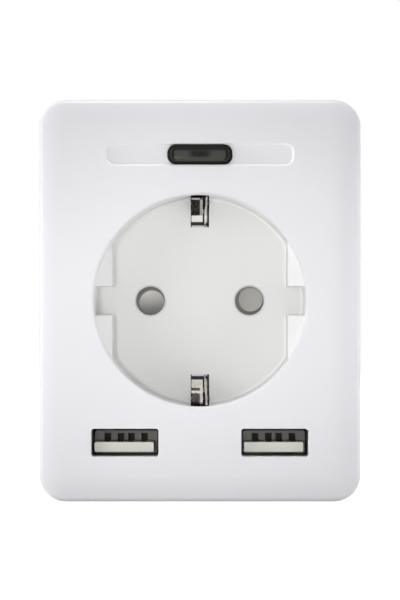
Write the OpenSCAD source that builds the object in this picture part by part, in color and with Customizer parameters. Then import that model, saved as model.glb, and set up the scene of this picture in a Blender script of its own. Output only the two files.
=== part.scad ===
// Plug-in socket adapter: an earthed socket well with a shutter, a push button and two charging ports.
// The origin is where the plug's axis meets the wall. X is to the right, Y is into the wall and Z is up.

/* [Body] */
// Width of the front face
body_w = 60; // [58:1:80]
// Height of the front face
body_h = 75; // [74:1:95]
// Radius of the outline's corners, and how far the rolled edge of the face reaches in
corner_r = 5; // [4:0.5:7]
// Radius of the broad arc that rolls the face down towards its edge
roll_r = 14; // [10:1:24]
// Radius of the tight arc at the very edge of the face
rim_r = 1.2; // [0.6:0.1:2]
// Thickness of the side walls
wall = 2; // [1.6:0.1:2.4]
// Thickness of the front wall
front_wall = 2; // [1.6:0.1:2.6]
// Thickness of the rear wall
rear_wall = 2; // [1.6:0.1:3]
// Depth of the front cover's skirt
cover_d = 15; // [13:0.5:17]
// How far the rear housing's sides lean in towards the wall
rear_draft = 0.8; // [0:0.1:1.2]
// Radius of the rear housing's edge at the wall
rear_r = 2.2; // [1:0.1:3]
// Width and depth of the shadow gap between the two shells
shadow_gap = 0.5; // [0.3:0.1:0.7]

/* [Socket] */
// Diameter of the round well
well_d = 39.5; // [39:0.5:42]
// Depth of the well from the front face to its floor
well_depth = 17.5; // [16.5:0.5:21]
// Distance between the well's two flat sides
well_flats = 33; // [32:0.5:34]
// Width of the key notch in each flat side
key_w = 5.5; // [4.5:0.1:6.6]
// Slope of the flat sides' tops, in degrees
key_slope = 14; // [0:1:25]
// Radius of the rounded rim of the well
well_rim_r = 0.5; // [0.2:0.1:0.8]
// Thickness of the well's wall
cup_wall = 1.5; // [1.2:0.1:1.8]
// Thickness of the well's floor
floor_t = 2; // [1.6:0.1:2.6]
// Distance between the two pins
pin_pitch = 19; // [18:0.5:20]
// Diameter of a pin
pin_d = 4.8; // [4:0.1:5.8]
// Extra diameter of the floor's pin holes
pin_hole_room = 0.7; // [0.5:0.1:0.9]
// Width of the slots that the earth clips stand in
earth_slot_w = 3.5; // [3:0.1:4.2]
// Distance from the axis to the inner end of an earth slot
earth_slot_in = 14.1; // [13.9:0.1:14.5]

/* [Shutter] */
// Thickness of the shutter
shutter_t = 2.8; // [2.4:0.1:3.4]
// Angle that each wing covers
wing_angle = 40; // [38:1:44]
// Angle that the shutter turns to open
shutter_turn = 40; // [38:1:44]
// Diameter of the pivot post
pivot_d = 4; // [3.2:0.1:4.8]
// Wire diameter of the return spring
spring_wire = 0.5; // [0.4:0.05:0.6]
// Number of turns of the return spring
spring_turns = 2.5; // [1.5:1:2.5]

/* [Contacts] */
// Length of the contact carrier
carrier_l = 11; // [10:0.5:14]
// Wall of a contact sleeve
sleeve_t = 0.5; // [0.4:0.05:0.6]
// Thickness of the earth clips
clip_t = 0.5; // [0.4:0.05:0.6]
// Distance from the axis to the point of an earth clip's knee
clip_knee = 14.9; // [14.7:0.1:15.3]
// Thickness of the earth strap and the current bars
bar_t = 0.8; // [0.6:0.1:1]

/* [Plug] */
// Gap all round between the plug's boss and a well of this size
plug_gap = 0.75; // [0.5:0.05:1]
// Length of the plug's boss
boss_l = 17; // [16:0.5:17.5]
// Length of a pin outside the boss
pin_l = 19; // [18:0.5:19.5]
// Radius of a pin's rounded end
pin_end_r = 1.6; // [0.8:0.1:2]
// Width of the plug's earth plates
plate_w = 5; // [4:0.2:6]

/* [Button] */
// Width of the button
button_w = 11.9; // [10:0.1:14.4]
// Height of the button
button_h = 3.58; // [3.2:0.02:4.4]
// Radius of the button's corners
button_r = 1.5; // [1:0.05:1.6]
// How far the button stands proud of the face
button_proud = 0.4; // [0:0.1:1]
// How far the button travels
button_travel = 0.4; // [0.2:0.05:0.5]
// Length of the shallow slot
slot_w = 34.6; // [30:0.2:40]
// Height of the shallow slot
slot_h = 3.65; // [3.2:0.05:4.5]
// Radius of the slot's corners
slot_r = 1.35; // [0.8:0.05:1.6]
// Depth of the shallow slot
slot_depth = 0.8; // [0.4:0.1:1]
// Width of the bevel round the slot's edge
slot_bevel = 0.3; // [0.1:0.05:0.4]
// Distance from the top edge to the middle of the slot
slot_from_top = 10.2; // [9.6:0.1:11]

/* [Charging ports] */
// Distance between the middles of the two ports
port_pitch = 28; // [26:0.5:29]
// Distance from the bottom edge to the middle of the ports
port_from_bottom = 11.05; // [10.8:0.05:11.6]
// Inner width of a port's shell
port_w = 12.5; // [12:0.1:13]
// Inner height of a port's shell
port_h = 5.12; // [5:0.02:5.3]
// Thickness of a port's shell
port_t = 0.3; // [0.2:0.05:0.4]
// Length of a port's shell
port_l = 13; // [11:0.5:14]
// Width of a port's tongue
tongue_w = 11.1; // [10.5:0.1:11.3]
// Thickness of a port's tongue
tongue_t = 1.84; // [1.6:0.02:2]
// Gap under a port's tongue
tongue_gap = 0.72; // [0.6:0.02:0.9]

/* [Fits] */
// Radial gap of the parts that turn or slide
run_gap = 0.05; // [0.03:0.01:0.08]
// Gap round pieces that drop into place
seat_gap = 0.1; // [0.05:0.01:0.2]
// Gap between pieces that pass each other and never touch
free_gap = 0.2; // [0.15:0.05:0.3]

/* [Hidden] */
$fn = 64;
// How far a cutter runs past what it cuts, and how far a post reaches into what carries it
past = 1;
root = 0.3;

// Depths behind the front face, in order from the face to the wall
floor_back = well_depth + floor_t;
shutter_front = floor_back + free_gap;
shutter_back = shutter_front + shutter_t;
carrier_front = shutter_back + free_gap;
carrier_back = carrier_front + carrier_l;
terminal_l = 2;
terminal_back = carrier_back + terminal_l;
strap_front = terminal_back + free_gap;
strap_back = strap_front + bar_t;
foot_front = strap_back + free_gap;
foot_back = foot_front + bar_t;
flange_t = 2;
flange_front = foot_back + free_gap;
inner_back = flange_front + flange_t;
body_d = inner_back + rear_wall;
boss_end = body_d + boss_l;
pin_end = boss_end + pin_l;

// Socket
well_r = well_d / 2;
cup_r = well_r + cup_wall;
cup_flange_r = cup_r + 1.25;
cup_flange_t = 1.5;
collar_t = 1;
collar_l = 2.5;
flat_x = well_flats / 2;
pin_x = pin_pitch / 2;
pin_r = pin_d / 2;
pin_hole_r = pin_r + pin_hole_room / 2;
hole_chamfer = 0.3;

// Shutter, its stops and its spring
pivot_r = pivot_d / 2;
pivot_back = carrier_front + 3.3;
hub_r = pivot_r + 2;
wing_r = pin_x + pin_hole_r + 1.1;
ramp_angle = 16;
ramp_top = pin_hole_r + 0.3;
stop_w = 1;
stop_in = hub_r + 2;
stop_clear = 1.5;
spring_r = pivot_r + 1.2;
spring_pitch = spring_wire + 0.2;
spring_leg = 3.9;
spring_front = carrier_front + spring_wire;
spring_side = 8;
spring_step = 15;
pocket_r = norm([spring_r, spring_leg]) + spring_wire;
pocket_l = spring_pitch * spring_turns + 2 * spring_wire;
peg_r = 0.4;
peg_l = 1;
peg = [spring_leg - 0.4, spring_r - spring_wire / 2 - peg_r - run_gap];

// Screws, the corner posts that take them and the lip between the shells
post_inset = 6.5;
post_x = body_w / 2 - post_inset;
post_z = body_h / 2 - post_inset;
post_r = 3;
post_back = cover_d + 7;
tower_r = 3.75;
screw_r = 1.45;
screw_head_r = 2.7;
screw_head_t = 2;
screw_seat = post_back + 8;
screw_l = 18;
counterbore_r = screw_head_r + 0.3;
small_r = 0.9;
small_head_r = 1.8;
small_head_t = 1.2;
button_screw_l = 4;
usb_screw_l = 8;
board_screw_l = 8;
cross_w = 0.28;
cross_l = 1.3;
lip_t = 1;
lip_l = 2;

// Contacts
sleeve_in = pin_r + run_gap;
sleeve_r = sleeve_in + sleeve_t;
sleeve_front = carrier_front + 1.7;
sleeve_mouth = 0.3;
sleeve_slit = 0.8;
sleeve_slit_l = 6.6;
chamber_r = sleeve_r + 0.6;
chamber_front = sleeve_front - free_gap;
terminal_w = 2 * chamber_r + 1;
carrier_w = pin_pitch + 2 * (chamber_r + 3.2);
carrier_h = 2 * (chamber_r + 4.8);
carrier_r = 4;
lug_z = carrier_h / 2 + small_head_r + 0.35;
lug_r = 3.4;
lug_t = 3.3;
lug_post_r = 2.4;
arm_w = 6;

// Earth clips: a lead-in, a round knee, a springy tail and a flat foot
lead_angle = atan(3 / 4);
tail_angle = atan(7 / 24);
knee_r = 2;
heel_r = 2;
clip_tip = [3.5, well_r - 0.85];
foot_step = 0.1;
clip_end = carrier_front + 4.3;
lead_l = (clip_tip[1] + knee_r * cos(lead_angle) - clip_knee - knee_r) / sin(lead_angle);
tail_in = clip_knee + knee_r * (1 - cos(tail_angle));
tail_l = 6.5;
clip_foot = tail_in + tail_l * sin(tail_angle) + heel_r * (1 - cos(tail_angle)) + foot_step;
tail_front = clip_tip[0] + lead_l * cos(lead_angle) + knee_r * (sin(lead_angle) + sin(tail_angle));
heel_back = tail_front + tail_l * cos(tail_angle) + heel_r * sin(tail_angle);
clip_left = -1.6;
clip_rib = [0, 0.55];
clip_rib_t = 1.5;
clip_cheek = [0.85, 1.4];
clip_in = earth_slot_in + free_gap;
clip_tab_in = earth_slot_in - free_gap;
clip_tab_front = floor_back + 0.9;
clip_tab_h = 0.6;
cheek_fold = 1.1;
cheek_out = well_r - 0.2;
cheek_rim = [clip_tip[0], cheek_out - 0.2];
cheek_shoulder = cheek_rim + [5.5, -1.6];
cheek_neck = cheek_shoulder + [1, -1.6];
cheek_set_back = 0.7;
cheek_back = floor_back + 2;

// Earth strap and current bars
strap_w = 5;
strap_r = 1;
strap_in = clip_foot + clip_t;
strap_lap = 2;
strap_start = clip_end - strap_lap;
bar_w = 4;
bar_r = 1;

// Plug
boss_chamfer = 1;
plug_flange_r = well_r + 1.2;
shank_r = pin_r + 0.25;
shoulder_r = shank_r + 0.8;
shoulder_sink = 0.6;
stud_r = 1.6;
stud_head_r = 2.3;
stud_head_t = 0.3;
plate_out = clip_knee + 0.7;
plate_in = plate_out - bar_t;
plate_bend = 1;
plate_hook = 1.4;
plate_end = boss_end - 1.6;
hook_room = bar_t + 2 * seat_gap;
groove_w = plate_w + 1;

// Button, its switch and its board
slot_z = body_h / 2 - slot_from_top;
button_edge = 0.5;
button_crown = 5;
button_rim = 0.5;
button_step = 0.25;
face_edge = 0.2;
button_gap = 0.12;
button_lip_w = 0.8;
button_lip_t = 0.8;
button_back = front_wall + run_gap;
stem_r = 1.2;
stem_back = button_back + button_lip_t + 1.5;
switch_size = [6, 3.6, 2.2];
plunger_r = 1;
plunger_front = stem_back + run_gap;
plunger_out = 0.6;
plunger_l = 1.8;
switch_front = plunger_front + plunger_out;
button_board_front = switch_front + switch_size[2];
button_board = [28, 8, 1.2];
button_post_x = 11;
button_post_r = 2.2;
led_x = 5;
led_size = [2, 1.3, 0.6];

// Charging ports and their board
port_x = port_pitch / 2;
port_z = port_from_bottom - body_h / 2;
port_r = 0.5;
shell_back = front_wall + port_l;
tongue_front = front_wall + 1;
tongue_r = 0.3;
tongue_side = -0.2;
base_front = shell_back - 2.6;
base_back = shell_back + 1;
base_gap = [0.3, 0.75];
finger_x = 2.9;
finger_w = 1.7;
finger_angle = 4;
finger_l = 4;
finger_tip = 1.2;
finger_window = [front_wall + 2.5, front_wall + 9];
leg_w = 1.2;
leg_l = base_back - shell_back + 2.4;
tongue_top = port_z - port_h / 2 + tongue_gap + tongue_t;
contact_x = [-3.5, -1, 1, 3.5];
contact_w = 1;
contact_t = 0.2;
contact_sink = 0.25;
contact_front = tongue_front + 0.5;
contact_slot = [1.2, 1.3];
usb_board_t = 1.6;
usb_board_h = 12;
usb_board_w = port_pitch + port_w + 3;
usb_post_r = 2.6;

// Main board and what stands on it
board_t = 1.6;
board_front = carrier_front + 4.3;
board_back = board_front + board_t;
board_margin = wall + rear_draft + 0.5;
board_r = 1.5;
board_hole = [carrier_w + 3, 2 * (strap_in + bar_t) + 2];
board_hole_r = 3;
board_post_x = (board_hole[0] / 2 + body_w / 2 - board_margin) / 2;
board_post_r = 2.5;
strip_z = (board_hole[1] / 2 + body_h / 2 - board_margin) / 2;
part_h = flange_front - board_back;
part_foot = 1;
relay_x = -4.5;
relay_size = [19, 10.5];
relay_inset = 0.6;
relay_r = 0.8;
fuse_x = 12;
fuse_r = 4.2;
fuse_h = 8;
fuse_inset = 0.4;
core_x = -6;
core_size = [18, 11];
core_leg = 2.5;
can_r = 4;
can_neck = [0.3, 0.5];
can_places = [[9.5, -strip_z], [board_post_x - 3.5, 3 - strip_z]];
varistor_z = 12;
varistor_r = 4;
varistor_t = 3.6;
lead_w = 0.8;
lead_x = 2.5;
lead_out = 0.6;
shunt_z = 8;
shunt_h = 3;
shunt_l = 6;
chip_z = -12;
chip_size = [4, 6, 1.5];
chip_pitch = 1.27;
chip_rows = 4;
chip_leg = [0.8, 0.45, 0.3];
edge_gap = 0.6;
feed_x = board_post_x - board_post_r - edge_gap;
out_z = board_hole[1] / 2 + bar_t + edge_gap;
out_front = terminal_back - bar_t / 2;

// Stretches a front view, drawn as X and Z, between two depths
module span(from, to)
    translate([0, to - body_d, 0]) rotate([90, 0, 0]) linear_extrude(to - from) children();

// Stretches a side view, drawn as depth and Z, between two places along X
module slice(from, to)
    translate([from, -body_d, 0]) rotate([90, 0, 90]) linear_extrude(to - from) children();

// Stretches a top view, drawn as X and depth, between two heights
module layer(from, to)
    translate([0, -body_d, from]) linear_extrude(to - from) children();

// Turns a profile, drawn as radius and depth, about an axis through a point of the front view
module turned(x = 0, z = 0)
    translate([x, -body_d, z]) rotate([-90, 0, 0]) rotate_extrude() children();

module left_and_right() for (side = [0, 1]) mirror([side, 0, 0]) children();

module above_and_below() for (side = [0, 1]) mirror([0, 0, side]) children();

// The same two for a front view that isn't stretched yet
module up_and_down() for (side = [0, 1]) mirror([0, side]) children();

module at_corners(x, z) left_and_right() up_and_down() translate([x, z]) children();

// Quarter of a disc, towards -X and -Y of its middle
module quarter(r) intersection() {
    circle(r);
    translate([-r - past, -r - past]) square(r + past);
}

module rounded(w, h, r) {
    square([w - 2 * r, h], center = true);
    square([w, h - 2 * r], center = true);
    at_corners(0, 0) translate([r - w / 2, r - h / 2]) quarter(r);
}

// Block from depth 0 to d with rounded corners, whose edge profile is drawn as inset (0 to r) and depth
module soft_block(w, h, d, r) {
    cx = w / 2 - r;
    cz = h / 2 - r;
    translate([-cx, 0, -cz]) cube([2 * cx, d, 2 * cz]);
    left_and_right() translate([cx, 0, -cz]) linear_extrude(2 * cz) translate([r, 0]) mirror([1, 0]) children();
    above_and_below() rotate([0, 90, 0]) translate([cz, 0, -cx]) linear_extrude(2 * cx)
        translate([r, 0]) mirror([1, 0]) children();
    left_and_right() above_and_below() translate([cx, 0, -cz]) rotate([-90, 0, 0]) rotate_extrude(angle = 90)
        translate([r, 0]) mirror([1, 0]) children();
}

// Edge that rolls off a flat face on a broad arc, a little short of its reach, and ends in a tight one
module rolled_edge(reach, broad, tight, d) {
    start = reach - root;
    tilt = asin((start - tight) / (broad - tight));
    turn_depth = broad - (broad - tight) * cos(tilt);
    middle = [tight, turn_depth];
    beyond = middle - 2 * tight * [sin(tilt), cos(tilt)];
    translate([0, turn_depth]) square([reach, d - turn_depth]);
    translate([start, 0]) square([root, d]);
    intersection() {
        translate(middle) circle(tight);
        polygon([middle, [-past, turn_depth], [-past, beyond[1]], beyond]);
    }
    intersection() {
        translate([start, broad]) circle(broad);
        polygon([middle, beyond, [start, beyond[1]], [start, turn_depth]]);
    }
}

// Bent strip: straight runs and bends chained end to end, with the metal on the left of the way
module run(l) {
    square([l, $strip]);
    translate([l, 0]) children();
}

// Bend of a strip to the left, or to the right if the angle is negative, with r on its right-hand face
module bend(r, angle) {
    way = sign(angle);
    middle = [0, way * r];
    reach = 2 * (r + $strip);
    edge = way > 0 ? [r - $strip, r] : [r, r + $strip];
    translate(middle) intersection() {
        difference() {
            circle(edge[1]);
            circle(edge[0]);
        }
        polygon([[0, 0], [0, -way * reach], reach * [sin(abs(angle) / 2), -way * cos(angle / 2)],
            reach * [sin(abs(angle)), -way * cos(angle)]]);
    }
    translate(middle) rotate(angle) translate(-middle) children();
}

// Outline of the socket well, drawn in all round by a gap
module key_outline(gap = 0) intersection() {
    circle(well_r - gap);
    union() {
        square([well_flats - 2 * gap, well_d + past], center = true);
        square([well_d + past, key_w - 2 * gap], center = true);
    }
}

// Pan head screw whose head seats at Y 0 and whose shank points to -Y
module screw(l, r, head_r, head_t) difference() {
    rotate([-90, 0, 0]) rotate_extrude() {
        translate([0, -l]) square([r, l + head_t / 2]);
        square([head_r, head_t]);
    }
    for (turn = [0, 90]) translate([0, head_t, 0]) rotate([0, turn, 0])
        cube([cross_l * head_r, head_t, cross_w * head_r], center = true);
}

module case_screws() color("silver") left_and_right() above_and_below()
    translate([post_x, screw_seat - body_d, post_z]) screw(screw_l, screw_r, screw_head_r, screw_head_t);

module carrier_screws() color("silver") above_and_below()
    translate([0, carrier_front + lug_t - body_d, lug_z])
        screw(lug_t + carrier_front - floor_back - past, small_r, small_head_r, small_head_t);

module board_screws() color("silver") {
    left_and_right() translate([button_post_x, button_board_front + button_board[2] - body_d, slot_z])
        screw(button_screw_l, small_r, small_head_r, small_head_t);
    translate([0, base_back + usb_board_t - body_d, port_z])
        screw(usb_screw_l, small_r, small_head_r, small_head_t);
    left_and_right() translate([board_post_x, board_front - body_d, 0]) mirror([0, 1, 0])
        screw(board_screw_l, small_r, small_head_r, small_head_t);
}

module front_cover() color("white") difference() {
    union() {
        difference() {
            translate([0, -body_d, 0]) soft_block(body_w, body_h, cover_d, corner_r)
                rolled_edge(corner_r, roll_r, rim_r, cover_d);
            span(front_wall, cover_d + past) rounded(body_w - 2 * wall, body_h - 2 * wall, corner_r - wall);
            span(-past, front_wall + past) circle(cup_flange_r);
        }
        turned() well_rim();
        span(front_wall, front_wall + collar_l) difference() {
            circle(cup_flange_r + seat_gap + collar_t);
            circle(cup_flange_r + seat_gap);
        }
        span(front_wall - root, post_back) at_corners(post_x, post_z) circle(post_r);
        span(front_wall - root, button_board_front) button_posts() circle(button_post_r);
        span(front_wall - root, base_back) translate([0, port_z]) circle(usb_post_r);
    }
    span(-past, slot_depth) translate([0, slot_z]) rounded(slot_w, slot_h, slot_r);
    translate([0, -body_d - past, slot_z]) soft_block(slot_w + 2 * slot_bevel, slot_h + 2 * slot_bevel,
        past + slot_bevel, slot_r + slot_bevel) bevel_cutter();
    span(-past, front_wall + past) translate([0, slot_z])
        rounded(button_w + 2 * button_gap, button_h + 2 * button_gap, button_r + button_gap);
    span(-past, front_wall + past) left_and_right() translate([port_x, port_z])
        rounded(port_w + seat_gap, port_h + seat_gap, port_r);
    span(screw_seat - screw_l - past, post_back + past) at_corners(post_x, post_z) circle(screw_r + run_gap);
    span(front_wall + past, button_board_front + past) button_posts() circle(small_r + run_gap);
    span(front_wall + past, base_back + past) translate([0, port_z]) circle(small_r + run_gap);
}

// Edge of the cutter that bevels the slot, drawn as inset and depth: straight up to the face, then sloping in
module bevel_cutter() polygon([[0, 0], [slot_r + slot_bevel, 0], [slot_r + slot_bevel, past + slot_bevel],
    [slot_bevel, past + slot_bevel], [0, past]]);

// Ring of the front wall round the well, with a rounded rim
module well_rim() {
    translate([well_r + well_rim_r, 0]) square([cup_flange_r - well_r - well_rim_r, front_wall]);
    translate([well_r, well_rim_r]) square([well_rim_r, front_wall - well_rim_r]);
    translate([well_r + well_rim_r, well_rim_r]) quarter(well_rim_r);
}

module button_posts() left_and_right() translate([button_post_x, slot_z]) children();

module rear_housing() color("white") difference() {
    rear_d = body_d - cover_d;
    union() {
        difference() {
            mirror([0, 1, 0]) soft_block(body_w, body_h, rear_d, corner_r) rear_edge(rear_d);
            span(cover_d - past, inner_back) rounded(body_w - 2 * (wall + rear_draft),
                body_h - 2 * (wall + rear_draft), corner_r - wall);
        }
        span(cover_d - lip_l, cover_d + past) shell_lip();
        span(post_back, inner_back + root) at_corners(post_x, post_z) circle(tower_r);
        span(board_back, inner_back + root) left_and_right() translate([board_post_x, 0]) circle(board_post_r);
    }
    span(post_back - past, body_d) at_corners(post_x, post_z) circle(screw_r + seat_gap);
    span(screw_seat, body_d + past) at_corners(post_x, post_z) circle(counterbore_r);
    span(inner_back - past, body_d + past) key_outline(plug_gap - seat_gap);
    span(board_back - past, board_back + board_screw_l) left_and_right() translate([board_post_x, 0])
        circle(small_r + run_gap);
}

// Edge of the rear housing, drawn as inset and distance from the wall: round, leaning out, then stepped in
module rear_edge(d) {
    turn = rear_draft + rear_r;
    step = d - shadow_gap;
    polygon([[turn, 0], [corner_r, 0], [corner_r, d], [shadow_gap, d], [shadow_gap, step], [0, step],
        [rear_draft, rear_r], [turn, rear_r]]);
    translate([turn, rear_r]) quarter(rear_r);
}

// Lip of the rear housing that goes inside the front cover's skirt
module shell_lip() {
    outer = wall + seat_gap;
    inner = outer + lip_t;
    difference() {
        rounded(body_w - 2 * outer, body_h - 2 * outer, corner_r - outer);
        rounded(body_w - 2 * inner, body_h - 2 * inner, corner_r - inner);
    }
}

module socket_cup() color("whitesmoke") difference() {
    union() {
        difference() {
            union() {
                span(front_wall, floor_back) circle(cup_r);
                span(front_wall, front_wall + cup_flange_t) circle(cup_flange_r);
            }
            span(front_wall - past, well_depth) circle(well_r);
        }
        left_and_right() key_side();
        span(floor_back - root, pivot_back) circle(pivot_r);
        span(floor_back - root, carrier_front) up_and_down() translate([0, lug_z]) circle(lug_post_r);
        shutter_stops();
    }
    left_and_right() turned(pin_x) {
        translate([0, well_depth - past]) square([pin_hole_r, floor_t + 2 * past]);
        polygon([[0, well_depth - hole_chamfer], [pin_hole_r + 2 * hole_chamfer, well_depth - hole_chamfer],
            [pin_hole_r, well_depth + hole_chamfer], [0, well_depth + hole_chamfer]]);
    }
    span(front_wall - past, floor_back + past) up_and_down() translate([-earth_slot_w / 2, earth_slot_in])
        square([earth_slot_w, cup_flange_r - earth_slot_in + past]);
    span(floor_back - root, carrier_front + past) up_and_down() translate([0, lug_z]) circle(small_r + run_gap);
}

// Flat side of the well, with a sloping top and the key notch through it
module key_side() difference() {
    intersection() {
        span(front_wall, floor_back - root) circle(well_r + root);
        layer(-well_r, well_r) polygon([[flat_x, front_wall + (well_r - flat_x) * tan(key_slope)],
            [well_r, front_wall], [well_r + past, front_wall], [well_r + past, floor_back],
            [flat_x, floor_back]]);
    }
    span(front_wall - past, well_depth) translate([0, -key_w / 2]) square([well_d, key_w]);
}

// Ribs under the floor that stop the shutter's wings where it is shut and where it is open
module shutter_stops() {
    shut = -wing_angle / 2 - stop_clear;
    open = wing_angle / 2 + shutter_turn + stop_clear;
    span(floor_back - root, shutter_back) for (turn = [0, 180]) rotate(turn) {
        rotate(shut) translate([stop_in, -stop_w]) square([wing_r - stop_in, stop_w]);
        rotate(open) translate([stop_in, 0]) square([wing_r - stop_in, stop_w]);
    }
}

module shutter() color("gray") difference() {
    union() {
        span(shutter_front, shutter_back) {
            circle(hub_r);
            for (turn = [0, 180]) rotate(turn) wing();
        }
        span(shutter_back - root, shutter_back + peg_l) translate(peg) circle(peg_r);
    }
    span(shutter_front - past, shutter_back + past) circle(pivot_r + run_gap);
    for (turn = [0, 180]) rotate([0, turn, 0]) ramp_cutter();
}

// Wing of the shutter, a sector on both sides of the X axis
module wing() intersection() {
    circle(wing_r);
    polygon([[0, 0], 2 * wing_r * [cos(wing_angle / 2), -sin(wing_angle / 2)],
        2 * wing_r * [cos(wing_angle / 2), sin(wing_angle / 2)]]);
}

// Takes the front of a wing down on a slope that starts above the pin hole, so that a pin pushes the wing aside
module ramp_cutter() translate([hub_r, shutter_front - body_d, ramp_top]) rotate([ramp_angle, 0, 0])
    translate([0, -2 * shutter_t, -4 * wing_r]) cube([wing_r, 2 * shutter_t, 4 * wing_r]);

// Middle line of the torsion spring: a straight leg, the turns round the pivot and the other leg
function spring_depth(a) = spring_front + spring_pitch * (a - 90) / 360;
function spring_turn(a) = [spring_r * cos(a), spring_depth(a) - body_d, spring_r * sin(a)];
function spring_line() = let (last = 90 + 360 * spring_turns) concat(
    [spring_turn(90) + [spring_leg, 0, 0]],
    [for (a = [90 : spring_step : last]) spring_turn(a)],
    [spring_turn(last) + [spring_leg, 0, 0]]);

// Round wire along a line of points that keeps nearly square to the Y axis
module wire(line, r, sides) {
    count = len(line);
    rings = [for (i = [0 : count - 1]) let (
        ahead = line[min(i + 1, count - 1)] - line[max(i - 1, 0)],
        way = ahead / norm(ahead),
        side = cross(way, [0, 1, 0]),
        out = side / norm(side),
        up = cross(out, way))
        for (k = [0 : sides - 1]) line[i] + r * (cos(360 * k / sides) * out + sin(360 * k / sides) * up)];
    skin = [for (i = [0 : count - 2], k = [0 : sides - 1]) let (
        a = i * sides + k,
        b = i * sides + (k + 1) % sides)
        each [[a, b, b + sides], [a, b + sides, a + sides]]];
    first = [for (k = [1 : sides - 2]) [0, k + 1, k]];
    end = (count - 1) * sides;
    last = [for (k = [1 : sides - 2]) [end, end + k, end + k + 1]];
    polyhedron(rings, concat(skin, first, last));
}

module shutter_spring() color("silver") wire(spring_line(), spring_wire / 2, spring_side);

module contact_carrier() color("dimgray") {
    difference() {
        union() {
            span(carrier_front, carrier_back) rounded(carrier_w, carrier_h, carrier_r);
            span(carrier_front, carrier_front + lug_t) up_and_down() translate([0, lug_z]) circle(lug_r);
            span(carrier_front, strap_start - free_gap) up_and_down() carrier_arm();
        }
        span(carrier_front - past, carrier_back) left_and_right() translate([pin_x, 0]) circle(pin_hole_r);
        span(chamber_front, carrier_back + past) left_and_right() translate([pin_x, 0]) circle(chamber_r);
        span(carrier_front - past, carrier_front + pocket_l) circle(pocket_r);
        span(carrier_front, pivot_back + free_gap) circle(pivot_r + run_gap);
        span(carrier_front - past, carrier_front + lug_t + past) up_and_down() translate([0, lug_z])
            circle(small_r + seat_gap);
    }
    span(carrier_front + pocket_l - peg_l, carrier_front + pocket_l + root) translate([peg[0], -peg[1]])
        circle(peg_r);
}

// Arm of the carrier in front view: it stands behind a clip's slot and lets the clip's foot through
module carrier_arm() difference() {
    translate([-arm_w / 2, lug_z]) square([arm_w, strap_in + bar_t + root - lug_z]);
    translate([clip_left - free_gap, clip_foot - free_gap])
        square([clip_cheek[1] - clip_left + 2 * free_gap, clip_t + 2 * free_gap]);
}

// Split sleeve that grips a pin, with a square terminal behind the carrier
module contact_sleeve() difference() {
    union() {
        span(sleeve_front, carrier_back + root) translate([pin_x, 0]) circle(sleeve_r);
        span(carrier_back, terminal_back) translate([pin_x, 0]) square(terminal_w, center = true);
    }
    turned(pin_x) {
        translate([0, sleeve_front - past]) square([sleeve_in, terminal_back - sleeve_front + 2 * past]);
        polygon([[0, sleeve_front - sleeve_mouth], [sleeve_in + 2 * sleeve_mouth, sleeve_front - sleeve_mouth],
            [sleeve_in, sleeve_front + sleeve_mouth], [0, sleeve_front + sleeve_mouth]]);
    }
    span(sleeve_front - past, sleeve_front + sleeve_slit_l) translate([pin_x, 0])
        square([2 * sleeve_r + past, sleeve_slit], center = true);
}

module live_contact() color("goldenrod") mirror([1, 0, 0]) contact_sleeve();

module neutral_contact() color("goldenrod") contact_sleeve();

module earth_clip_upper() color("silver") {
    foot_start = heel_back + root / 2;
    slice(clip_left, clip_rib[1]) clip_spring(clip_t) run(root);
    slice(clip_rib[0], clip_rib[1]) clip_spring(clip_rib_t);
    slice(clip_left, clip_cheek[1]) translate([foot_start, clip_foot]) square([clip_end - foot_start, clip_t]);
    slice(clip_cheek[0], cheek_fold) cheek_outline([cheek_shoulder, cheek_neck], clip_in);
    slice(cheek_fold - root / 2, clip_cheek[1]) cheek_outline([[cheek_rim[0], cheek_out], cheek_rim,
        cheek_shoulder, cheek_neck + [0, cheek_set_back]], clip_in + cheek_set_back);
    slice(clip_cheek[0], cheek_fold) translate([floor_back + free_gap, clip_tab_in])
        square([cheek_back - floor_back - free_gap, clip_in + root - clip_tab_in]);
    span(clip_tab_front, clip_tab_front + clip_t) translate([clip_left, clip_tab_in])
        square([clip_cheek[1] - clip_left, clip_tab_h]);
}

// Spring of a clip in side view, from its tip by the well's rim to its heel by the floor, and what follows it
module clip_spring(t) {
    $strip = t;
    translate(clip_tip) rotate(-lead_angle) run(lead_l) bend(knee_r, lead_angle + tail_angle)
        run(tail_l) bend(heel_r, -tail_angle) children();
}

// Half of the upright cheek beside a clip's spring in side view, by the points of its front and its inner edge
module cheek_outline(front, inner)
    polygon(concat(front, [[floor_back - past, inner], [cheek_back, inner], [cheek_back, clip_foot],
        [clip_end, clip_foot], [clip_end, clip_foot + clip_t], [heel_back, clip_foot + clip_t],
        [heel_back - heel_r, cheek_out]]));

module earth_clip_lower() mirror([0, 0, 1]) earth_clip_upper();

// Strap that runs from one clip's foot round the back of the carrier to the other's
module earth_bridge() color("goldenrod") {
    $strip = bar_t;
    leg = strap_front - strap_r - strap_start;
    slice(-strap_w / 2, strap_w / 2) translate([strap_start, strap_in]) run(leg) bend(strap_r, -90)
        run(2 * (strap_in - strap_r)) bend(strap_r, -90) run(leg);
}

// Bar from the live pin's stud out to the side and forward to the main board
module live_feed_bar() color("goldenrod") difference() {
    $strip = bar_t;
    start = stud_head_r - pin_x;
    layer(-bar_w / 2, bar_w / 2) translate([start, foot_back]) rotate(180) run(feed_x + start - 2 * bar_r)
        bend(2 * bar_r, 90) run(foot_back - 2 * bar_r - board_back);
    span(foot_front - past, foot_back + past) translate([-pin_x, 0]) circle(stud_r + run_gap);
}

// Bar from the live contact's terminal up to the main board's edge by the relay
module live_out_bar() color("goldenrod") {
    $strip = bar_t;
    slice(-pin_x - bar_w / 2, -pin_x + bar_w / 2) translate([out_front, terminal_w / 2]) rotate(90)
        run(out_z - terminal_w / 2 - 2 * bar_r) bend(2 * bar_r, 90) run(out_front - 2 * bar_r - board_back);
}

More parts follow.
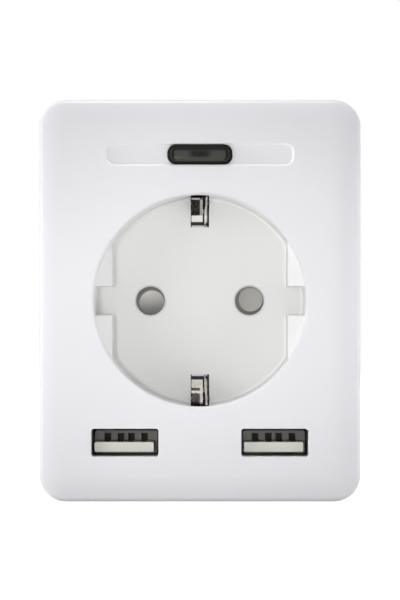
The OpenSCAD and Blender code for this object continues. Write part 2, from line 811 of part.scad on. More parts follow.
// Bar from the neutral pin's stud round to the side of the neutral contact's terminal
module neutral_bar() color("goldenrod") difference() {
    $strip = bar_t;
    start = pin_x - stud_head_r;
    layer(-bar_w / 2, bar_w / 2) translate([start, foot_front]) run(pin_x + terminal_w / 2 - start - bar_r)
        bend(bar_r, -90) run(foot_front - bar_r - carrier_back);
    span(foot_front - past, foot_back + past) translate([pin_x, 0]) circle(stud_r + run_gap);
}

module power_button() color("darkslategray") {
    rim_d = button_proud - button_step + button_back + root;
    face_d = button_step + root;
    face_r = button_r - button_rim;
    translate([0, button_step - body_d - button_proud, slot_z]) soft_block(button_w, button_h, rim_d, button_r)
        rolled_edge(button_r, button_crown, button_edge, rim_d);
    translate([0, -body_d - button_proud, slot_z])
        soft_block(button_w - 2 * button_rim, button_h - 2 * button_rim, face_d, face_r)
            rolled_edge(face_r, button_crown, face_edge, face_d);
    span(button_back, button_back + button_lip_t) translate([0, slot_z])
        rounded(button_w + 2 * button_lip_w, button_h + 2 * button_lip_w, button_r + button_lip_w);
    span(button_back, stem_back) translate([0, slot_z]) circle(stem_r);
}

module switch_body() color("black") difference() {
    span(switch_front, button_board_front) translate([0, slot_z])
        square([switch_size[0], switch_size[1]], center = true);
    span(switch_front - past, plunger_front + plunger_l + button_travel + free_gap) translate([0, slot_z])
        circle(plunger_r + run_gap);
}

module switch_plunger() color("tan") span(plunger_front, plunger_front + plunger_l)
    translate([0, slot_z]) circle(plunger_r);

module status_led() color("ivory") {
    span(button_board_front - led_size[2], button_board_front) translate([led_x, slot_z])
        square([led_size[0], led_size[1]], center = true);
    span(button_board_front - 2 * led_size[2], button_board_front - led_size[2]) translate([led_x, slot_z])
        circle(led_size[1] / 2 - seat_gap);
}

module button_board() color("darkgreen")
    span(button_board_front, button_board_front + button_board[2]) difference() {
        translate([0, slot_z]) square([button_board[0], button_board[1]], center = true);
        button_posts() circle(small_r + seat_gap);
    }

module usb_shell_right() color("silver") {
    difference() {
        span(front_wall, shell_back) translate([port_x, port_z]) difference() {
            rounded(port_w + 2 * port_t, port_h + 2 * port_t, port_r + port_t);
            rounded(port_w, port_h, port_r);
        }
        for (side = [-1, 1]) at_finger(side, finger_w / 2 + free_gap) translate([finger_window[0], -past])
            square([finger_window[1] - finger_window[0], port_t + 2 * past]);
    }
    for (side = [-1, 1]) at_finger(side, finger_w / 2) port_finger();
    span(shell_back - root, shell_back + leg_l) port_legs() square([port_t, leg_w], center = true);
}

// Side view of the shell's top wall, its inner face at 0, stretched over the width of one spring finger
module at_finger(side, half) slice(port_x + side * finger_x - half, port_x + side * finger_x + half)
    translate([0, port_z + port_h / 2]) children();

// Spring finger that slopes down out of its window and turns up at its end
module port_finger() {
    $strip = port_t;
    translate([finger_window[1] + root, port_t]) rotate(180 + finger_angle) run(finger_l)
        bend(1, -2 * finger_angle) run(finger_tip);
}

module port_legs() translate([port_x, port_z]) left_and_right() translate([(port_w + port_t) / 2, 0])
    children();

module usb_shell_left() translate([-port_pitch, 0, 0]) usb_shell_right();

module usb_tongue_right() color("beige") difference() {
    union() {
        span(base_front, base_back) translate([port_x, port_z + (seat_gap - base_gap[1]) / 2])
            rounded(port_w - 2 * base_gap[0], port_h - seat_gap - base_gap[1], port_r);
        span(tongue_front, base_front + root) translate([port_x + tongue_side, tongue_top - tongue_t / 2])
            rounded(tongue_w, tongue_t, tongue_r);
    }
    span(contact_front - seat_gap, base_back + past) for (x = contact_x)
        translate([port_x + x - contact_slot[0] / 2, tongue_top - contact_sink])
            square([contact_slot[0], contact_slot[1] + contact_sink]);
}

module usb_tongue_left() translate([-port_pitch, 0, 0]) usb_tongue_right();

module usb_contacts_right() color("gold") for (x = contact_x)
    slice(port_x + x - contact_w / 2, port_x + x + contact_w / 2)
        translate([contact_front, tongue_top - contact_sink]) square([base_back - contact_front, contact_t]);

module usb_contacts_left() translate([-port_pitch, 0, 0]) usb_contacts_right();

module usb_board() color("black") span(base_back, base_back + usb_board_t) difference() {
    translate([0, port_z]) square([usb_board_w, usb_board_h], center = true);
    translate([0, port_z]) circle(small_r + seat_gap);
    circle(cup_r + free_gap);
    at_corners(post_x, post_z) circle(post_r + free_gap);
    left_and_right() port_legs() square([port_t + 2 * seat_gap, leg_w + 2 * seat_gap], center = true);
}

module main_board() color("darkgreen") span(board_front, board_back) difference() {
    rounded(body_w - 2 * board_margin, body_h - 2 * board_margin, board_r);
    rounded(board_hole[0], board_hole[1], board_hole_r);
    at_corners(post_x, post_z) circle(tower_r + free_gap);
    left_and_right() translate([board_post_x, 0]) circle(small_r + seat_gap);
}

module relay() color("royalblue") {
    span(board_back, board_back + part_foot) translate([relay_x, strip_z]) square(relay_size, center = true);
    span(board_back + part_foot, board_back + part_h) translate([relay_x, strip_z])
        rounded(relay_size[0] - relay_inset, relay_size[1] - relay_inset, relay_r);
}

// Ferrite core round a wound bobbin
module transformer() color("dimgray") {
    span(board_back, board_back + part_foot) translate([core_x, -strip_z]) square(core_size, center = true);
    span(board_back + part_foot, board_back + part_h) translate([core_x, -strip_z]) difference() {
        square(core_size, center = true);
        square([core_size[0] - 2 * core_leg, core_size[1] + past], center = true);
    }
    slice(core_x - core_size[0] / 2 + core_leg - root, core_x + core_size[0] / 2 - core_leg + root)
        translate([board_back + (part_h + part_foot) / 2, -strip_z]) circle((part_h - part_foot) / 2 - root);
}

module filter_capacitors() color("navy") for (place = can_places) turned(place[0], place[1]) {
    translate([0, board_back]) square([can_r, part_foot]);
    translate([0, board_back + part_foot]) square([can_r - can_neck[0], can_neck[1]]);
    translate([0, board_back + part_foot + can_neck[1]]) square([can_r, part_h - part_foot - can_neck[1]]);
}

module fuse() color("maroon") turned(fuse_x, strip_z) {
    translate([0, board_back]) square([fuse_r, part_foot]);
    translate([0, board_back + part_foot]) square([fuse_r - fuse_inset, fuse_h - part_foot]);
}

module varistor() color("steelblue") {
    middle = varistor_z + varistor_t / 2;
    layer(varistor_z, varistor_z + varistor_t) translate([board_post_x, board_back + varistor_r + lead_out])
        circle(varistor_r);
    layer(middle - lead_w / 2, middle + lead_w / 2) for (side = [-1, 1])
        translate([board_post_x + side * lead_x - lead_w / 2, board_back]) square([lead_w, varistor_r]);
}

// Bent bridge of resistance strip that the live current passes through
module metering_shunt() color("peru") {
    $strip = bar_t;
    slice(-board_post_x - bar_w / 2, -board_post_x + bar_w / 2) translate([board_back, shunt_z])
        run(shunt_h) bend(2 * bar_r, 90) run(shunt_l) bend(2 * bar_r, 90) run(shunt_h);
}

module metering_chip() color("black") translate([-board_post_x, 0, chip_z]) {
    span(board_front - chip_size[2], board_front - chip_leg[2] / 2)
        square([chip_size[0], chip_size[1]], center = true);
    span(board_front - chip_leg[2], board_front) for (row = [1 : chip_rows])
        translate([0, chip_pitch * (row - (chip_rows + 1) / 2)])
            square([chip_size[0] + 2 * chip_leg[0], chip_leg[1]], center = true);
}

module plug_body() color("white") difference() {
    union() {
        span(flange_front, inner_back) circle(plug_flange_r);
        intersection() {
            span(flange_front, boss_end) key_outline(plug_gap);
            turned() polygon([[0, flange_front], [well_r, flange_front], [well_r, boss_end - boss_chamfer],
                [well_r - plug_gap - boss_chamfer, boss_end], [0, boss_end]]);
        }
    }
    span(flange_front - past, boss_end + past) left_and_right() translate([pin_x, 0]) circle(shank_r + run_gap);
    span(flange_front - past, flange_front + shoulder_sink) left_and_right() translate([pin_x, 0])
        circle(shoulder_r + seat_gap);
    span(flange_front - past, inner_back) left_and_right() translate([board_post_x, 0])
        circle(board_post_r + seat_gap);
    above_and_below() plate_cutter();
}

// Slot through the flange, groove along the boss and pocket for the hook of an earth plate
module plate_cutter() {
    slice(-plate_w / 2 - seat_gap, plate_w / 2 + seat_gap) translate([flange_front - past, plate_in])
        square([body_d - flange_front + 2 * past, bar_t + seat_gap]);
    slice(-groove_w / 2, groove_w / 2) translate([body_d, plate_in]) square([boss_l + past, well_r - plate_in]);
    slice(-plate_w / 2 - seat_gap, plate_w / 2 + seat_gap) translate([plate_end + seat_gap, plate_in])
        polygon([[0, past], [0, -plate_bend - plate_hook], [-hook_room, -plate_bend - plate_hook],
            [-hook_room, -plate_bend], [-hook_room - plate_bend, 0], [-hook_room - plate_bend, past]]);
}

// Solid round pin: a stud riveted to its bar, a shoulder, a shank in the boss and the bare, round-ended pin
module plug_pin() color("silver") turned(pin_x) {
    translate([0, foot_front - stud_head_t]) square([stud_head_r, stud_head_t]);
    translate([0, foot_front - stud_head_t / 2]) square([stud_r, bar_t + stud_head_t]);
    translate([0, foot_back]) square([shoulder_r, flange_front + shoulder_sink - foot_back]);
    translate([0, foot_back]) square([shank_r, boss_end - foot_back]);
    translate([0, boss_end - root]) square([pin_r, pin_l - pin_end_r + root]);
    translate([0, pin_end - pin_end_r]) square([pin_r - pin_end_r, pin_end_r]);
    translate([pin_r - pin_end_r, pin_end - pin_end_r]) rotate(180) quarter(pin_end_r);
}

module plug_pin_live() mirror([1, 0, 0]) plug_pin();

module plug_pin_neutral() plug_pin();

// Earth plate along the top of the boss, hooked into it at the end
module plug_earth_upper() color("silver") {
    $strip = bar_t;
    slice(-plate_w / 2, plate_w / 2) translate([strap_back, plate_in])
        run(plate_end - bar_t - plate_bend - strap_back) bend(plate_bend, -90) run(plate_hook);
}

module plug_earth_lower() mirror([0, 0, 1]) plug_earth_upper();

front_cover();
rear_housing();
socket_cup();
shutter();
shutter_spring();
contact_carrier();
live_contact();
neutral_contact();
earth_clip_upper();
earth_clip_lower();
earth_bridge();
power_button();
switch_body();
switch_plunger();
status_led();
button_board();
usb_shell_left();
usb_shell_right();
usb_tongue_left();
usb_tongue_right();
usb_contacts_left();
usb_contacts_right();
usb_board();
main_board();
relay();
transformer();
filter_capacitors();
fuse();
varistor();
metering_shunt();
metering_chip();
live_feed_bar();
live_out_bar();
neutral_bar();
plug_body();
plug_pin_live();
plug_pin_neutral();
plug_earth_upper();
plug_earth_lower();
case_screws();
carrier_screws();
board_screws();
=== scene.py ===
"""Plug-in socket adapter: finishes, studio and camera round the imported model. Lengths are in metres."""
import math

import bpy
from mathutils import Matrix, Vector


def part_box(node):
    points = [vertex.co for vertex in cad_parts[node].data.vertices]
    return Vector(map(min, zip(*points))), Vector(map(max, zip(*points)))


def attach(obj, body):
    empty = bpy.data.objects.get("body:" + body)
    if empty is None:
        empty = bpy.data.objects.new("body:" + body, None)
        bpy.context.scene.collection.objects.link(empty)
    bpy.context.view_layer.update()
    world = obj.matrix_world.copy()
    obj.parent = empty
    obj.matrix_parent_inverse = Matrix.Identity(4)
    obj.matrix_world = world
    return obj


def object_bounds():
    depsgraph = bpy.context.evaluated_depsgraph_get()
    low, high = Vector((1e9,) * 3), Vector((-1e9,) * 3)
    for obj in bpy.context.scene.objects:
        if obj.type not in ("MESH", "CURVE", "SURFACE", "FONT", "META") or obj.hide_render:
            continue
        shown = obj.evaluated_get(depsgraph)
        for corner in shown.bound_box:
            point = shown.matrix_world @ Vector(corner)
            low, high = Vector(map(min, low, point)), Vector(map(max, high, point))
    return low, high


MM = 0.001
MICRON = 0.001 * MM

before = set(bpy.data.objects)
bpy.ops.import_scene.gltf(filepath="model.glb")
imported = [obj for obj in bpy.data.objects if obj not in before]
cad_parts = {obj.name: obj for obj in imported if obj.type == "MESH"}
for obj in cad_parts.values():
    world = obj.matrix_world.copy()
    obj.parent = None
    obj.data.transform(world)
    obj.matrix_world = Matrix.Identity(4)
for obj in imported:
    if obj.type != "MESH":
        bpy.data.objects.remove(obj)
cad_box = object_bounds()

# Places and sizes on the part that its finishes follow
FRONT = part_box("front_cover")[0][1]
WELL_FLOOR = FRONT + 17.5 * MM
WELL_RADIUS = 19.75 * MM
WELL_FLAT = 16.5 * MM
KEY_WIDTH = 5.5 * MM
PORT_BASE = FRONT + 9 * MM
SLOT_SIZE = (34.6 * MM, 3.65 * MM)
SLOT_CORNER = 1.35 * MM
SLOT_BEVEL = 0.3 * MM
BUTTON_MIDDLE = [sum(ends) / 2 for ends in zip(*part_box("power_button"))]
BUTTON_FACE = (10.9 * MM, 2.58 * MM)
BUTTON_FACE_CORNER = 1.0 * MM
PANE_SIZE = (9.8 * MM, 2.64 * MM)
PANE_CORNER = 0.9 * MM

# Places on an earth clip. Heights are measured from the socket's axis.
CLIP_BACK = FRONT + 11.8 * MM
CLIP_CHEEK = 0.65 * MM
CLIP_TAB = 14.6 * MM
CLIP_KNEE = 14.75 * MM
CLIP_END = 19.3 * MM

# Factors on the place, one for each axis. A small one draws the lines of rolled metal out along its axis.
LINES_ALONG_X = (0.05, 1, 1)
LINES_ALONG_Y = (1, 0.05, 1)
LINES_ALONG_YZ = (1, 0.05, 0.05)


class Value:
    """One socket of a shader tree. Sums on values add Math nodes to the tree."""

    def __init__(self, shading, socket):
        self.shading = shading
        self.socket = socket

    def math(self, operation, *values):
        return self.shading.node("Math", {"operation": operation}, dict(enumerate(values)))

    def __add__(self, other):
        return self.math("ADD", self, other)

    def __sub__(self, other):
        return self.math("SUBTRACT", self, other)

    def __rsub__(self, other):
        return self.math("SUBTRACT", other, self)

    def __mul__(self, other):
        return self.math("MULTIPLY", self, other)

    def __abs__(self):
        return self.math("ABSOLUTE", self)

    def above(self, other):
        """The larger of the two."""
        return self.math("MAXIMUM", self, other)

    def root(self):
        return self.math("SQRT", self)

    __radd__ = __add__
    __rmul__ = __mul__


class Shading:
    """A shader tree in the making. node() adds any node and gives one of its outputs."""

    def __init__(self, owner):
        owner.use_nodes = True
        self.tree = owner.node_tree
        self.tree.nodes.clear()

    def node(self, kind, settings=None, inputs=None, output=0):
        made = self.tree.nodes.new("ShaderNode" + kind)
        for name, value in (settings or {}).items():
            setattr(made, name, value)
        for socket, value in (inputs or {}).items():
            if isinstance(value, Value):
                self.tree.links.new(value.socket, made.inputs[socket])
            else:
                made.inputs[socket].default_value = value
        return Value(self, made.outputs[output]) if made.outputs else None

    def studio(self, lit, seen):
        """The first shader lights the object, and the second is what the camera, gloss and glass show."""
        shown = self.node("LightPath", output="Is Camera Ray")
        for ray in ("Is Glossy Ray", "Is Transmission Ray"):
            shown = shown.above(self.node("LightPath", output=ray))
        return self.node("MixShader", None, {0: shown, 1: lit, 2: seen})


class Finish(Shading):
    """The shader tree of a material for one kind of surface."""

    def __init__(self, name):
        self.material = bpy.data.materials.new(name)
        super().__init__(self.material)
        self.place = self.node("TexCoord", output="Object")

    def axis(self, name):
        """Distance along one axis of the model."""
        return self.node("SeparateXYZ", None, {0: self.place}, name)

    def stretched(self, x, y, z):
        """The place, drawn out along an axis whose factor is small."""
        return self.node("Mapping", None, {"Vector": self.place, "Scale": (x, y, z)})

    def noise(self, size, detail=2.0, place=None):
        """Cloudy noise from 0 to 1 whose features are about size across."""
        inputs = {"Vector": place or self.place, "Scale": 1 / size, "Detail": detail}
        return self.node("TexNoise", None, inputs)

    def step(self, value, low, high):
        """0 below low, 1 above high and a soft rise between."""
        return self.node("MapRange", {"interpolation_type": "SMOOTHSTEP"},
                         {"Value": value, "From Min": low, "From Max": high})

    def over(self, value, limit, soft):
        """0 below the limit and 1 above it, with a rise that reaches soft to either side."""
        return self.step(value, limit - soft, limit + soft)

    def band(self, value, low, high, soft):
        """1 between low and high and 0 elsewhere, with soft edges."""
        return self.over(value, low, soft) * (1 - self.over(value, high, soft))

    def outline(self, across, up, size, corner):
        """Distance out from a rounded rectangle round the middle, down to -corner inside it."""
        wide = (abs(across) - (size[0] / 2 - corner)).above(0)
        tall = (abs(up) - (size[1] / 2 - corner)).above(0)
        return (wide * wide + tall * tall).root() - corner

    def tint(self, mask, colour, other):
        """The one colour where the mask is 0 and the other where it is 1."""
        return self.node("Mix", {"data_type": "RGBA"}, {0: mask, 6: rgba(colour), 7: rgba(other)}, 2)

    def relief(self, height, depth, edge=0.0):
        """Normal of a surface that rises by depth where height goes from 0 to 1, with its edges broken."""
        inputs = {"Height": height, "Distance": depth}
        if edge:
            inputs["Normal"] = self.node("Bevel", {"samples": 6}, {"Radius": edge})
        return self.node("Bump", None, inputs)

    def surface(self, **inputs):
        """Ends the tree with a surface whose sockets are named as keywords, and gives the material."""
        named = {key.replace("_", " ").title().replace("Ior", "IOR"): value for key, value in inputs.items()}
        self.node("OutputMaterial", None, {"Surface": self.node("BsdfPrincipled", None, named)})
        return self.material


def rgba(colour):
    """A plain colour gets its alpha, and a value passes."""
    return colour if isinstance(colour, Value) else (*colour, 1.0)


def moulding(name, colour, shade, roughness, grain=0.09 * MM, depth=1.5 * MICRON, edge=0.15 * MM,
             patch=None):
    """Moulded plastic: spark-eroded grain, slow unevenness of tone and gloss, and broken edges.

    A patch is a function that gives a mask for the finish, and the colour painted there.
    """
    finish = Finish(name)
    cloud = finish.noise(18 * MM, 3)
    fine = finish.noise(grain)
    base = finish.tint(cloud, colour, shade)
    if patch:
        mask, other = patch
        base = finish.tint(mask(finish) * (1 - 0.1 * cloud), base, other)
    return finish.surface(base_color=base, normal=finish.relief(fine, depth, edge),
                          roughness=roughness + 0.1 * (cloud - 0.5) + 0.06 * fine)


def port_base_painted_shade(finish):
    """Mask of the base behind a port's tongue, which is painted dark as the shade deep in the port."""
    return finish.over(finish.axis("Y"), PORT_BASE, 0.1 * MM)


def floor_inside_painted_border(finish):
    """Mask of the well's floor without a border along the wall and the flats.

    The wall and that border are painted paler than the floor, to lift the shade on the wall and in the
    corner.
    """
    border = 0.4 * MM
    soft = 0.3 * MM
    key_border = 0.25 * MM
    across = finish.axis("X")
    up = finish.axis("Z")
    deep = finish.over(finish.axis("Y"), WELL_FLOOR - 0.2 * MM, 0.1 * MM)
    from_axis = (across * across + up * up).root()
    near_wall = finish.over(from_axis, WELL_RADIUS - border, soft)
    near_flat = finish.over(abs(across), WELL_FLAT - border, soft)
    beside_key = finish.over(abs(up), KEY_WIDTH / 2 + key_border, key_border)
    return deep * (1 - near_wall) * (1 - near_flat * beside_key)


def slot_bevel_painted_highlight(finish):
    """Mask of the bevel round the button's slot, which is painted paler as a highlight."""
    up = finish.axis("Z") - BUTTON_MIDDLE[2]
    out = finish.outline(finish.axis("X"), up, SLOT_SIZE, SLOT_CORNER)
    return finish.band(out, -0.1 * MM, SLOT_BEVEL, 0.05 * MM)


def sheet_metal(name, colour, shade, roughness, along=(1, 1, 1)):
    """Rolled and plated strip: fine lines drawn out along the strip and cloudy tarnish."""
    finish = Finish(name)
    lines = finish.noise(0.12 * MM, 2, finish.stretched(*along))
    cloud = finish.noise(3 * MM, 3)
    return finish.surface(base_color=finish.tint(finish.step(cloud, 0.35, 0.75), colour, shade), metallic=1.0,
                          roughness=roughness + 0.16 * (lines - 0.5) + 0.12 * (cloud - 0.5),
                          normal=finish.relief(lines, 2 * MICRON, 0.08 * MM))


def clip_metal(name, rubbed_and_highlight, tarnish, lead, tip, groove=None):
    """Nickel-plated spring. Its knee and the edge of its tip are matt and pale where plugs rub,
    and painted as a highlight.

    The leaf is painted dark from the height lead to the height tip, and in a groove if there is one:
    tarnished, and painted shade and reflection of the dark inside. The folded cheek is painted dark
    as shade, but for a painted slanting highlight.
    """
    finish = Finish(name)
    soft = 0.05 * MM
    side = finish.axis("X")
    height = abs(finish.axis("Z"))
    lines = finish.noise(0.1 * MM, 2, finish.stretched(*LINES_ALONG_YZ))
    cloud = finish.noise(1.2 * MM, 3)
    specks = finish.noise(0.4 * MM, 3)
    leaf = 1 - finish.over(side, 0, soft)
    cheek = finish.over(side, CLIP_CHEEK, soft)
    front = 1 - finish.over(finish.axis("Y"), CLIP_BACK, 0.5 * MM)
    start = finish.over(height + 0.4 * MM * (cloud - 0.5), lead, 3 * soft)
    edge = finish.over(height, tip, soft)
    past = finish.over(height, CLIP_END, soft)
    from_painted_glint = abs(side - 0.1 * height + 0.55 * MM)
    painted_glint = 1 - finish.step(from_painted_glint, 0.13 * MM, 0.3 * MM)
    painted_shading = leaf * start * (1 - edge)
    if groove:
        painted_shading = painted_shading + leaf * finish.band(height, *groove, soft)
    # Painted shade and reflection, partly tarnish: the leaf's lead-in and groove, the strip past the end, and
    # the cheek but for its painted highlight
    dark = front * (painted_shading + (1 - cheek) * past + cheek * (1 - painted_glint))
    # Painted highlight on the knee and the tip's edge, where plugs also rub the plating matt
    knee = finish.over(height, CLIP_KNEE, soft) * (1 - start) + leaf * edge * (1 - past)
    tab = 1 - finish.over(height, CLIP_TAB, soft)
    plain = finish.tint(tab, (0.66, 0.64, 0.635), (0.8, 0.78, 0.785))
    pale = finish.tint(finish.step(cloud, 0.4, 0.8), *rubbed_and_highlight)
    tarnish_and_shade_colour = finish.tint(finish.step(specks, 0.4, 0.75), *tarnish)
    roughness = 0.32 + 0.08 * dark + 0.28 * (knee + tab)
    return finish.surface(base_color=finish.tint(dark, finish.tint(knee, plain, pale), tarnish_and_shade_colour),
                          metallic=1 - 0.5 * knee,
                          roughness=roughness + 0.16 * (lines - 0.5) + 0.1 * (cloud - 0.5),
                          normal=finish.relief(lines, 2 * MICRON, 0.08 * MM))


def turned_metal(name, colour, shade, roughness):
    """Turned and plated rod along Y: fine rings round it and a slow change of gloss.

    The end inside the case, whose back is at 0, is dull and painted dark as shade.
    """
    finish = Finish(name)
    rings = finish.noise(0.1 * MM, 2, finish.stretched(0.02, 1, 0.02))
    cloud = finish.noise(4 * MM, 3)
    # Painted shade: the end inside the case is dark
    inside = 1 - finish.step(finish.axis("Y"), 0, 0.5 * MM)
    plated = finish.tint(cloud, colour, shade)
    roughness = roughness + 0.3 * inside
    return finish.surface(base_color=finish.tint(inside, plated, (0.07, 0.06, 0.045)), metallic=1.0,
                          roughness=roughness + 0.14 * (rings - 0.5) + 0.1 * (cloud - 0.5),
                          normal=finish.relief(rings, 1.5 * MICRON, 0.1 * MM))


def smoked_button(name, middle):
    """Dark smoked cap over a light: a black rim, and a paler pane on the raised face.

    A painted highlight runs round the raised face but for its top. The pane is painted darker towards its top
    as shade, and has a soft dark window in its middle.
    """
    finish = Finish(name)
    across = finish.axis("X") - middle[0]
    up = finish.axis("Z") - middle[2]
    cloud = finish.noise(1.2 * MM, 3)
    fine = finish.noise(0.05 * MM)
    face = finish.outline(across, up, BUTTON_FACE, BUTTON_FACE_CORNER)
    # Painted highlight round the edge of the raised face, left out at its top
    highlight_cut_at_top = finish.step(up, 0.6 * MM, 1.2 * MM)
    painted_edge_highlight = finish.band(face, -0.14 * MM, 0.02 * MM, 0.04 * MM) * (1 - highlight_cut_at_top)
    past_pane = finish.step(finish.outline(across, up, PANE_SIZE, PANE_CORNER), -0.3 * MM, 0.05 * MM)
    # Painted shade: the pane grows darker towards its top
    painted_shade_at_top = finish.step(up, 0.4 * MM, 1.1 * MM)
    beside_window = finish.step(abs(across), 1.0 * MM, 2.6 * MM)
    over_window = finish.step(abs(up - 0.1 * MM), 0.2 * MM, 1.1 * MM)
    window = (1 - beside_window) * (1 - over_window)
    pane = (1 - past_pane) * (1 - painted_shade_at_top) * (1 - 0.85 * window + 0.35 * (cloud - 0.5))
    pale = pane + 0.8 * painted_edge_highlight
    return finish.surface(base_color=finish.tint(pale, (0.01, 0.0103, 0.009), (0.068, 0.069, 0.06)),
                          specular_ior_level=0.06, roughness=0.58 + 0.1 * (cloud - 0.5), coat_weight=0.04,
                          coat_roughness=0.05, normal=finish.relief(fine, 0.8 * MICRON, 0.05 * MM))


def pad_painted_light_and_shade(name, low, high):
    """Grey moulded pad with painted light and shade: pale towards its upper edge and dark below it.

    It is glossier where it is pale.
    """
    finish = Finish(name)
    cloud = finish.noise(2 * MM, 3)
    fine = finish.noise(0.09 * MM)
    painted_shading = finish.step(finish.axis("Z") + 0.5 * MM * (cloud - 0.5), low, high)
    return finish.surface(base_color=finish.tint(painted_shading, (0.19, 0.185, 0.176), (0.68, 0.668, 0.64)),
                          normal=finish.relief(fine, 1.5 * MICRON, 0.05 * MM),
                          roughness=0.5 - 0.1 * painted_shading + 0.06 * fine)


def circuit_board(name, mask, track, gloss):
    """Solder mask over copper: the lanes between the tracks show as slightly raised lines of another tone."""
    finish = Finish(name)
    upright = finish.node("Mapping", None, {"Vector": finish.place, "Rotation": (math.pi / 2, 0, 0)})
    lane_sizes = {"Mortar Size": 0.25 * MM, "Brick Width": 5.2 * MM, "Row Height": 1.6 * MM}
    lanes = finish.node("TexBrick", None, {"Vector": upright, "Scale": 1.0, **lane_sizes}, "Fac")
    cloud = finish.noise(6 * MM, 3)
    return finish.surface(base_color=finish.tint(0.6 * lanes + 0.4 * cloud, mask, track),
                          normal=finish.relief(lanes, 20 * MICRON), specular_ior_level=gloss,
                          roughness=0.38 + 0.12 * (cloud - 0.5))


def coat(material, *nodes):
    """Gives nodes of the model their finish."""
    for node in nodes:
        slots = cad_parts[node].data.materials
        slots.clear()
        slots.append(material)


# Plastics: a colour, the shade that it drifts to, and the roughness
SHELL_WHITE = {"colour": (0.84, 0.834, 0.864), "shade": (0.825, 0.819, 0.851), "roughness": 0.36}
coat(moulding("shell_plastic", **SHELL_WHITE), "rear_housing")
# Painted highlight: the bevel round the button's slot is paler than the cover
coat(moulding("cover_plastic", **SHELL_WHITE, patch=(slot_bevel_painted_highlight, (0.99, 0.985, 1.0))), "front_cover")
# Painted light: the well's wall and a border of its floor are paler than the floor, to lift the shade on the
# wall and in the corner
coat(moulding("socket_plastic", (0.95, 0.95, 0.945), (0.94, 0.94, 0.935), 0.42, edge=0.05 * MM,
              patch=(floor_inside_painted_border, (0.85, 0.85, 0.842))), "socket_cup")
coat(moulding("plug_plastic", (0.86, 0.86, 0.852), (0.84, 0.84, 0.833), 0.42), "plug_body")
SHUTTER_GREY = moulding("shutter_plastic", (0.47, 0.457, 0.43), (0.44, 0.427, 0.4), 0.5)
coat(SHUTTER_GREY, "shutter")
coat(moulding("black_plastic", (0.03, 0.03, 0.031), (0.045, 0.045, 0.046), 0.5),
     "contact_carrier", "switch_body", "metering_chip")
coat(moulding("plunger_plastic", (0.5, 0.38, 0.24), (0.46, 0.34, 0.21), 0.5), "switch_plunger")
# Painted shade: the base behind each tongue is dark, as the shade deep in the port
coat(moulding("tongue_plastic", (0.86, 0.85, 0.78), (0.81, 0.8, 0.73), 0.45,
              patch=(port_base_painted_shade, (0.2, 0.195, 0.175))), "usb_tongue_left", "usb_tongue_right")
coat(moulding("relay_plastic", (0.02, 0.08, 0.3), (0.025, 0.1, 0.34), 0.42), "relay")
coat(moulding("ferrite", (0.05, 0.048, 0.046), (0.09, 0.087, 0.083), 0.7, grain=0.3 * MM, depth=10 * MICRON),
     "transformer")
coat(moulding("can_sleeve", (0.02, 0.02, 0.05), (0.03, 0.03, 0.07), 0.3), "filter_capacitors")
coat(moulding("fuse_plastic", (0.1, 0.03, 0.015), (0.13, 0.045, 0.022), 0.42), "fuse")
coat(moulding("dipped_epoxy", (0.02, 0.07, 0.2), (0.03, 0.09, 0.25), 0.28, grain=0.6 * MM, depth=8 * MICRON),
     "varistor")
coat(moulding("lamp_lens", (0.8, 0.74, 0.52), (0.75, 0.68, 0.45), 0.25), "status_led")
coat(smoked_button("smoked_plastic", BUTTON_MIDDLE), "power_button")

# Metals: a colour, the tarnish that it drifts to, the roughness and the run of the lines
# The clips' pale knees are partly painted highlight, and their dark leaves partly painted shade and
# reflection
coat(clip_metal("clip_nickel", rubbed_and_highlight=((0.95, 0.935, 0.9), (0.88, 0.86, 0.82)),
                tarnish=((0.016, 0.014, 0.012), (0.09, 0.08, 0.07)), lead=16.1 * MM, tip=18.95 * MM),
     "earth_clip_upper")
coat(clip_metal("clip_nickel_worn", rubbed_and_highlight=((0.8, 0.79, 0.73), (0.55, 0.52, 0.47)),
                tarnish=((0.05, 0.042, 0.04), (0.2, 0.17, 0.16)), lead=17.4 * MM, tip=CLIP_END,
                groove=(16.4 * MM, 16.9 * MM)),
     "earth_clip_lower")
# Painted shade: the strap is dark grey, as the shade deep in the case
coat(sheet_metal("strap_tin_painted_dark", (0.3, 0.295, 0.29), (0.23, 0.225, 0.22), 0.45, LINES_ALONG_YZ), "earth_bridge")
coat(sheet_metal("plate_nickel", (0.7, 0.68, 0.64), (0.58, 0.56, 0.52), 0.26, LINES_ALONG_YZ),
     "plug_earth_upper", "plug_earth_lower")
coat(sheet_metal("port_steel", (0.6, 0.6, 0.6), (0.5, 0.5, 0.49), 0.33, LINES_ALONG_X),
     "usb_shell_left", "usb_shell_right")
coat(sheet_metal("contact_brass", (0.78, 0.56, 0.25), (0.62, 0.42, 0.18), 0.32, LINES_ALONG_YZ),
     "live_contact", "neutral_contact", "live_feed_bar", "live_out_bar", "neutral_bar")
coat(sheet_metal("contact_gold", (0.83, 0.6, 0.24), (0.75, 0.52, 0.2), 0.24, LINES_ALONG_Y),
     "usb_contacts_left", "usb_contacts_right")
coat(sheet_metal("shunt_alloy", (0.5, 0.33, 0.22), (0.42, 0.27, 0.18), 0.4, LINES_ALONG_YZ), "metering_shunt")
coat(sheet_metal("spring_steel", (0.5, 0.5, 0.5), (0.4, 0.4, 0.4), 0.3), "shutter_spring")
coat(sheet_metal("screw_zinc", (0.6, 0.6, 0.58), (0.5, 0.5, 0.49), 0.34),
     "case_screws", "carrier_screws", "board_screws")
coat(turned_metal("pin_nickel", (0.6, 0.585, 0.55), (0.53, 0.515, 0.485), 0.24),
     "plug_pin_live", "plug_pin_neutral")

# Boards: the mask's colour, its colour over the lanes, and the gloss
coat(circuit_board("green_mask", (0.006, 0.035, 0.016), (0.014, 0.075, 0.035), 0.15),
     "button_board", "main_board")
coat(circuit_board("black_mask", (0.008, 0.008, 0.009), (0.016, 0.016, 0.017), 0.08), "usb_board")


